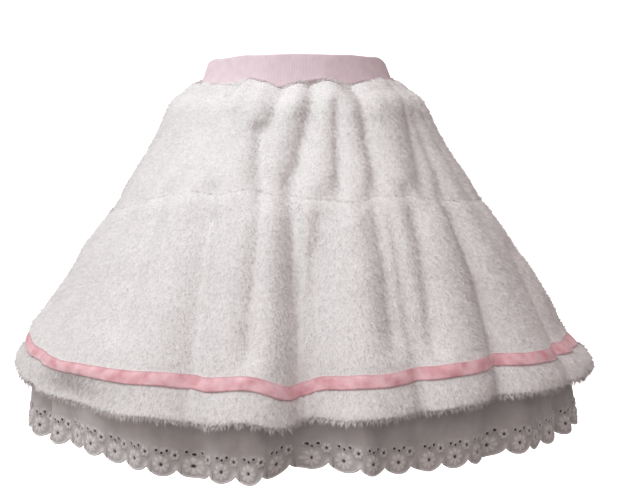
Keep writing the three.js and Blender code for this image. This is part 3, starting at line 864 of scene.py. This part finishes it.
def raised(points):
    """How far the embroidery stands off the flat lace."""
    height = np.zeros(len(points))
    for x, y, radius, hole, count in FLOWERS:
        reach = np.hypot(points[:, 0] - x, points[:, 1] - y)
        angle = np.arctan2(points[:, 1] - y, points[:, 0] - x)
        edge = flower_edge(angle, radius, count)
        t = np.clip((edge - reach) / (edge - hole), 0, 1)
        dome = np.clip(t * 5, 0, 1) ** 0.6 * np.clip((1 - t) * 6, 0, 1) ** 0.5
        full = FLOWER_HEIGHT * dome * (0.2 + 0.8 * petals(angle, count))
        height = np.maximum(height, np.where(reach < edge, full, 0))
    for x, y, hole, rim in EYELETS:
        reach = np.hypot(points[:, 0] - x, points[:, 1] - y)
        t = np.clip((reach - hole - SUNK) / (rim - hole - SUNK), 0, 1)
        height = np.maximum(height, stitched(t))
    return np.maximum(height, stitched(np.clip(edge_distance(points) / BORDER_WIDTH, 0, 1)))


def sunk(points):
    """How deep a point lies in an eyelet: 1 on its floor, 0 on the stitched ring round it."""
    depth = np.zeros(len(points))
    for x, y, hole, _ in HOLES:
        reach = np.hypot(points[:, 0] - x, points[:, 1] - y)
        depth = np.maximum(depth, np.clip(1.5 - (reach - hole) / SUNK, 0, 1))
    return depth


def ring(x, y, radius, sides, start=0):
    """Points round a circle; start turns them, as a share of the step between two."""
    angles = [math.tau * (i + start) / sides for i in range(sides)]
    return [(x + radius * math.cos(angle), y + radius * math.sin(angle)) for angle in angles]


def lace_repeat():
    """One repeat as flat points and triangles."""
    end = TILE_START + REPEAT
    xs = np.linspace(TILE_START, end, 20)
    slope = np.clip(np.abs(np.gradient(scallop_edge(xs), xs)), 0, 2.0)
    stretch = np.sqrt(1 + slope**2)
    edge = np.stack([xs, scallop_edge(xs)], -1)
    heights = (25.0, 36.0, 46.0, 58.0, 72.0, 88.0, 100.0, LACE_HEIGHT)
    top = [(x, LACE_HEIGHT) for x in np.linspace(TILE_START, end, 8)[1:-1]]
    points = [
        *map(tuple, edge), *((end, h) for h in heights), *top[::-1],
        *((TILE_START, h) for h in heights[::-1]),
    ]
    edges = [(i, (i + 1) % len(points)) for i in range(len(points))]
    for x, y, hole, sides in HOLES:
        first = len(points)
        points += ring(x, y, hole, sides)
        edges += [(first + i, first + (i + 1) % sides) for i in range(sides)]

    keep_off = []
    for x, y, radius, hole, count in FLOWERS:
        keep_off.append((x, y, radius + 1.6))
        for share in (0.2, 0.5, 0.8, 1.0):
            for i in range(2 * count):
                angle = math.pi * i / count
                reach = mix(hole, float(flower_edge(np.array(angle), radius, count)), share)
                points.append((x + reach * math.cos(angle), y + reach * math.sin(angle)))
        points += ring(x, y, radius + 0.5, 2 * count, 0.5)
    for x, y, hole, rim in EYELETS:
        keep_off.append((x, y, rim + 1.2))
        for reach in (hole + SUNK, mix(hole + SUNK, rim, 0.5), rim):
            points += ring(x, y, reach, 10)

    def clear(x, y, margin):
        return all(math.hypot(x - fx, y - fy) > r - margin for fx, fy, r in keep_off)

    for offset in (1.0, 2.0, 2.5):
        for x, y, far in zip(xs[1:-1], edge[1:-1, 1], stretch[1:-1]):
            if clear(x, y + offset * far, 1.2):
                points.append((x, y + offset * far))
    row = 5.0
    while row < LACE_HEIGHT - 3:
        space = 5.2 if row < 44 else 9.0
        count = int(REPEAT / space)
        for i in range(count):
            x = TILE_START + (i + (0.5 if int(row) % 2 else 0.75)) * REPEAT / count
            inside = TILE_START + 1.5 < x < end - 1.5 and row - float(scallop_edge(x)) > 4
            if inside and clear(x, row, 0):
                points.append((x, row))
        row += space

    flat, _, faces, *_ = delaunay_2d_cdt([Vector(p) for p in points], edges, [], 0, 1e-4)
    flat = np.array([tuple(p) for p in flat])
    faces = np.array([f for f in faces if len(f) == 3])
    middle = flat[faces].mean(axis=1)
    kept = middle[:, 1] > np.interp(middle[:, 0], edge[:, 0], edge[:, 1])
    a, b, c = (flat[faces[:, i]] for i in range(3))
    area = (b[:, 0] - a[:, 0]) * (c[:, 1] - a[:, 1]) - (c[:, 0] - a[:, 0]) * (b[:, 1] - a[:, 1])
    faces = np.where((area > 0)[:, None], faces, faces[:, ::-1])[kept & (np.abs(area) > 1e-5)]
    return flat, faces


def lace_surface(degrees, above):
    """A point of the ruffle for an angle and a height above the tips, in mm along the cloth."""
    turn = np.radians(degrees)
    sewn = FLOUNCE.wall(degrees, np.full_like(degrees, LACE_SEAM), np.full_like(degrees, PLUSH_WALL))
    tip = around(LACE_EDGE_HEIGHT, degrees)
    tall = sewn[:, 2] - tip
    upper = UPPER_LACE + (above - UPPER_LACE) / (LACE_HEIGHT - UPPER_LACE) * (tall - UPPER_LACE)
    height = np.where(above < UPPER_LACE, above, upper)
    drop = 1 - height / tall
    uneven = 0.65 + 0.35 * np.sin(5 * turn + 1)
    ruffle = np.sin(LACE_WAVES * turn + 1.3 * np.sin(4 * turn))
    # It stands out at the wearer's left side and hangs in towards the front.
    lean = (3 - 11 * np.cos(turn) + 2 * np.sin(turn)) * smooth(drop)
    out = lean + along(LACE_SECTIONS, 1, drop) + along(LACE_SECTIONS, 2, drop) * uneven * ruffle - SEAM_GAP
    return np.stack([
        sewn[:, 0] + out * np.sin(turn), sewn[:, 1] - out * np.cos(turn), mix(sewn[:, 2], tip, drop),
    ], -1)


def lace(material):
    """The eyelet lace: the flat repeat on the ruffle, with its embroidery raised on both faces."""
    flat, faces = lace_repeat()
    degrees_per_mm = 360 / SCALLOPS / REPEAT
    right = np.abs(flat[:, 0] - TILE_START - REPEAT) < 1e-3
    left = np.flatnonzero(np.abs(flat[:, 0] - TILE_START) < 1e-3)
    inner = np.flatnonzero(~right)
    place = np.full(len(flat), -1)
    place[inner] = np.arange(len(inner))
    # A point on the right edge is the one at the same height on the next repeat's left edge.
    for i in np.flatnonzero(right):
        place[i] = len(inner) + place[left[np.argmin(np.abs(flat[left, 1] - flat[i, 1]))]]
    count = len(inner) * SCALLOPS
    tiles = np.arange(SCALLOPS)
    all_faces = (place[faces][None] + (tiles * len(inner))[:, None, None]).reshape(-1, 3) % count
    middles = (tiles + 0.5) * (360 / SCALLOPS)
    degrees = ((flat[inner, 0] * degrees_per_mm)[None] + middles[:, None]).ravel()
    above = np.tile(flat[inner, 1], SCALLOPS)
    pits = sunk(flat[inner])
    height = np.tile(raised(flat[inner]) * (1 - pits) - PIT_DEPTH * pits, SCALLOPS)
    points = lace_surface(degrees, above)
    across = lace_surface(degrees + 0.2, above) - lace_surface(degrees - 0.2, above)
    up = lace_surface(degrees, above + 0.5) - lace_surface(degrees, above - 0.5)
    normal = unit(np.cross(across, up))
    outer = points + normal * (height - LACE_INSET)[:, None]
    inner_face = points - normal * (LACE_INSET + LACE_CLOTH + BACK_RELIEF * np.abs(height))[:, None]
    # The two faces are joined along every open edge: the top and the scallops.
    sides = np.concatenate([all_faces[:, [0, 1]], all_faces[:, [1, 2]], all_faces[:, [2, 0]]])
    keys = np.sort(sides, axis=1)
    _, first, times = np.unique(keys, axis=0, return_index=True, return_counts=True)
    rim = sides[first[times == 1]]
    walls = np.concatenate([
        np.stack([rim[:, 0] + count, rim[:, 1] + count, rim[:, 1]], -1),
        np.stack([rim[:, 0] + count, rim[:, 1], rim[:, 0]], -1),
    ])
    obj = new_object(
        "lace_eyelet", np.concatenate([outer, inner_face]),
        np.concatenate([all_faces, all_faces[:, ::-1] + count, walls]), material,
    )
    flat_uv = np.stack([degrees / 360 * SCALLOPS * REPEAT * MM, above * MM], -1)
    set_uv(obj, np.concatenate([flat_uv, flat_uv]))
    # The second map holds the stitching's height, which carries painted shade in the embroidery's hollows,
    # and the eyelets' floors, which are painted dark as painted shade.
    thread = np.stack([np.clip(height / STITCH_HEIGHT, 0, 1), np.tile(pits, SCALLOPS)], -1)
    set_uv(obj, np.concatenate([thread, thread]), "Thread")
    finish_piece(obj, "eyelet_cotton", "lace_trim")
    return obj


# --- Sizes and colours that a user would change

def color_setting(name, description, code):
    return bpy.props.FloatVectorProperty(
        name=name, description=description, subtype="COLOR_GAMMA", size=3, min=0, max=1, default=srgb(code),
    )


def length_setting(name, description, default_mm, low_mm, high_mm):
    return bpy.props.FloatProperty(
        name=name, description=description, default=default_mm * MM, min=low_mm * MM, max=high_mm * MM,
        unit="LENGTH",
    )


def count_setting(name, description, default, high):
    return bpy.props.IntProperty(name=name, description=description, default=default, min=100, max=high)


class SkirtSettings(bpy.types.PropertyGroup):
    plush_color: color_setting("Plush", "Colour of the pile", "#FAF8F7")
    back_color: color_setting("Knitted back", "Colour of the plush's knitted back", "#EFEBE8")
    band_color: color_setting("Waistband", "Colour of the elastic rib", "#F1DDE4")
    ribbon_color: color_setting("Ribbon", "Colour of the satin ribbon", "#F9CBD1")
    lace_color: color_setting("Lace", "Colour of the eyelet cotton", "#ECE9E7")
    pile_length: length_setting("Pile length", "Length of the longest strands", 7.0, 4, 30)
    strand_width: length_setting("Strand width", "Width of a strand at its root", 0.8, 0.3, 3)
    clump_size: length_setting("Clump size", "Distance between the pile's clumps", 5, 2, 30)
    yoke_tufts: count_setting("Yoke tufts", "Tufts on each half of the upper tier", 36000, 50000)
    flounce_tufts: count_setting("Flounce tufts", "Tufts on each half of the lower tier", 60000, 65000)


class SKIRT_OT_plush(bpy.types.Operator):
    """Build both tiers' knitted cloth and the pile on it"""

    bl_idname = "skirt.plush"
    bl_label = "Plush tiers"

    def execute(self, context):
        settings = context.scene.skirt
        pile = plush_pile_material(settings.plush_color)
        ground = knit_back_material(settings.plush_color, "plush_ground_weft_knit", 1.2, 0.15)
        back = knit_back_material(settings.back_color, "plush_back_weft_knit", 1.4, 0.2)
        template = tuft_template(3, 0.9)
        tree = pile_tree(template, pile)
        seed = 3
        for name in TIERS:
            for side in SIDES:
                cloth = cloth_panel(name, side, (ground, back))
                emitter = pile_emitter(name, side)
                tufts = settings.yoke_tufts if name == "yoke" else settings.flounce_tufts
                area = sum(polygon.area for polygon in emitter.data.polygons)
                fur = applied(
                    emitter, tree, f"{name}_{side}_pile", density=tufts / area, length=settings.pile_length,
                    width=settings.strand_width, rise=0.4, clump_size=settings.clump_size,
                    clump_pull=0.25, swirl=0.5, disorder=0.5, softness=0.74, seed=seed,
                )
                seed += 1
                # Pile lets light through: the folds are shaded by the cloth under it.
                fur.visible_shadow = fur.visible_diffuse = False
                finish_piece(fur, "plush")
        bpy.data.objects.remove(template)
        return {"FINISHED"}


class SKIRT_OT_waistband(bpy.types.Operator):
    """Build the elastic rib waistband"""

    bl_idname = "skirt.waistband"
    bl_label = "Waistband"

    def execute(self, context):
        waistband(rib_material(context.scene.skirt.band_color))
        return {"FINISHED"}


class SKIRT_OT_ribbon(bpy.types.Operator):
    """Build the satin ribbon above the hem"""

    bl_idname = "skirt.ribbon"
    bl_label = "Ribbon"

    def execute(self, context):
        ribbon(satin_material(context.scene.skirt.ribbon_color))
        return {"FINISHED"}


class SKIRT_OT_lace(bpy.types.Operator):
    """Build the scalloped eyelet lace"""

    bl_idname = "skirt.lace"
    bl_label = "Lace"

    def execute(self, context):
        lace(lace_material(context.scene.skirt.lace_color))
        return {"FINISHED"}


FLOOR_HALF, FLOOR_HEIGHT = 60000.0, -1050.0  # mm


class SKIRT_OT_stage(bpy.types.Operator):
    """Build the pale floor, the soft lights and the camera"""

    bl_idname = "skirt.stage"
    bl_label = "Stage"

    def execute(self, context):
        scene = context.scene
        material, _, shader = new_material("matt_white_paper", Roughness=0.95, Specular_IOR_Level=0.1)
        shader.inputs["Base Color"].default_value = linear(srgb("#FCFCFC"))
        # It is lit from below, as a light table is, so that it melts into the backdrop.
        shader.inputs["Emission Color"].default_value = (1, 1, 1, 1)
        shader.inputs["Emission Strength"].default_value = 1.0
        ways = ((-1, -1), (1, -1), (1, 1), (-1, 1))
        corners = [(FLOOR_HALF * x, FLOOR_HALF * y, FLOOR_HEIGHT) for x, y in ways]
        floor = new_object("floor", corners, [(0, 1, 2, 3)], material)
        floor.visible_diffuse = False
        # A white backdrop for the camera, and for the cloth a soft light from the upper left.
        world = bpy.data.worlds.new("soft_studio")
        scene.world = world
        world.use_nodes = True
        tree = world.node_tree
        way = add_node(tree, "ShaderNodeTexCoord").outputs["Generated"]
        towards = add_node(
            tree, "ShaderNodeVectorMath", {"operation": "DOT_PRODUCT"}, {1: (-0.32, -0.25, 0.91)}, {0: way},
        )
        height = add_node(
            tree, "ShaderNodeMapRange", inputs={"From Min": -0.6, "From Max": 0.7},
            links={"Value": towards.outputs["Value"]},
        )
        light = ramp(tree, height.outputs["Result"], (
            (0.0, (0.015, 0.012, 0.012, 1)), (0.5, (0.24, 0.21, 0.208, 1)), (1.0, (0.92, 0.81, 0.80, 1)),
        ))
        seen = add_node(tree, "ShaderNodeLightPath").outputs["Is Camera Ray"]
        feed(tree, mixed(tree, seen, light, (1.3, 1.3, 1.3, 1)), tree.nodes["Background"].inputs["Color"])
        box = bpy.data.lights.new("soft_box", "AREA")
        box.shape = "DISK"
        box.size = 1.25
        box.energy = 12.6
        box.color = (0.8, 0.97, 1.0)
        lamp = placed("soft_box", box)
        lamp.location = (-0.76, -0.72, 1.22)
        away = Vector(lamp.location) - Vector((0, 0, -0.2))
        lamp.rotation_euler = away.to_track_quat("Z", "Y").to_euler()
        scene.view_settings.view_transform = "Standard"
        camera_data = bpy.data.cameras.new("camera")
        camera_data.sensor_width = 36.0
        camera_data.lens = 119.8
        camera = placed("camera", camera_data)
        camera.location = (0.0195, -2.6, 0.115)
        camera.rotation_euler = (math.radians(90 - 7.35), 0, 0)
        scene.camera = camera
        return {"FINISHED"}


class SKIRT_PT_panel(bpy.types.Panel):
    """The skirt's sizes, colours and pieces"""

    bl_idname = "SKIRT_PT_panel"
    bl_label = "Skirt"
    bl_space_type = "VIEW_3D"
    bl_region_type = "UI"
    bl_category = "Skirt"

    def draw(self, context):
        for name in SkirtSettings.__annotations__:
            self.layout.prop(context.scene.skirt, name)
        for operator in OPERATORS:
            self.layout.operator(operator.bl_idname)


OPERATORS = (SKIRT_OT_plush, SKIRT_OT_waistband, SKIRT_OT_ribbon, SKIRT_OT_lace, SKIRT_OT_stage)
CLASSES = (SkirtSettings, *OPERATORS, SKIRT_PT_panel)


def register():
    for cls in CLASSES:
        bpy.utils.register_class(cls)
    bpy.types.Scene.skirt = bpy.props.PointerProperty(type=SkirtSettings)


def unregister():
    del bpy.types.Scene.skirt
    for cls in reversed(CLASSES):
        bpy.utils.unregister_class(cls)


def main():
    register()
    bpy.ops.skirt.plush()
    bpy.ops.skirt.waistband()
    bpy.ops.skirt.ribbon()
    bpy.ops.skirt.lace()
    bpy.ops.skirt.stage()


if __name__ == "__main__":
    main()
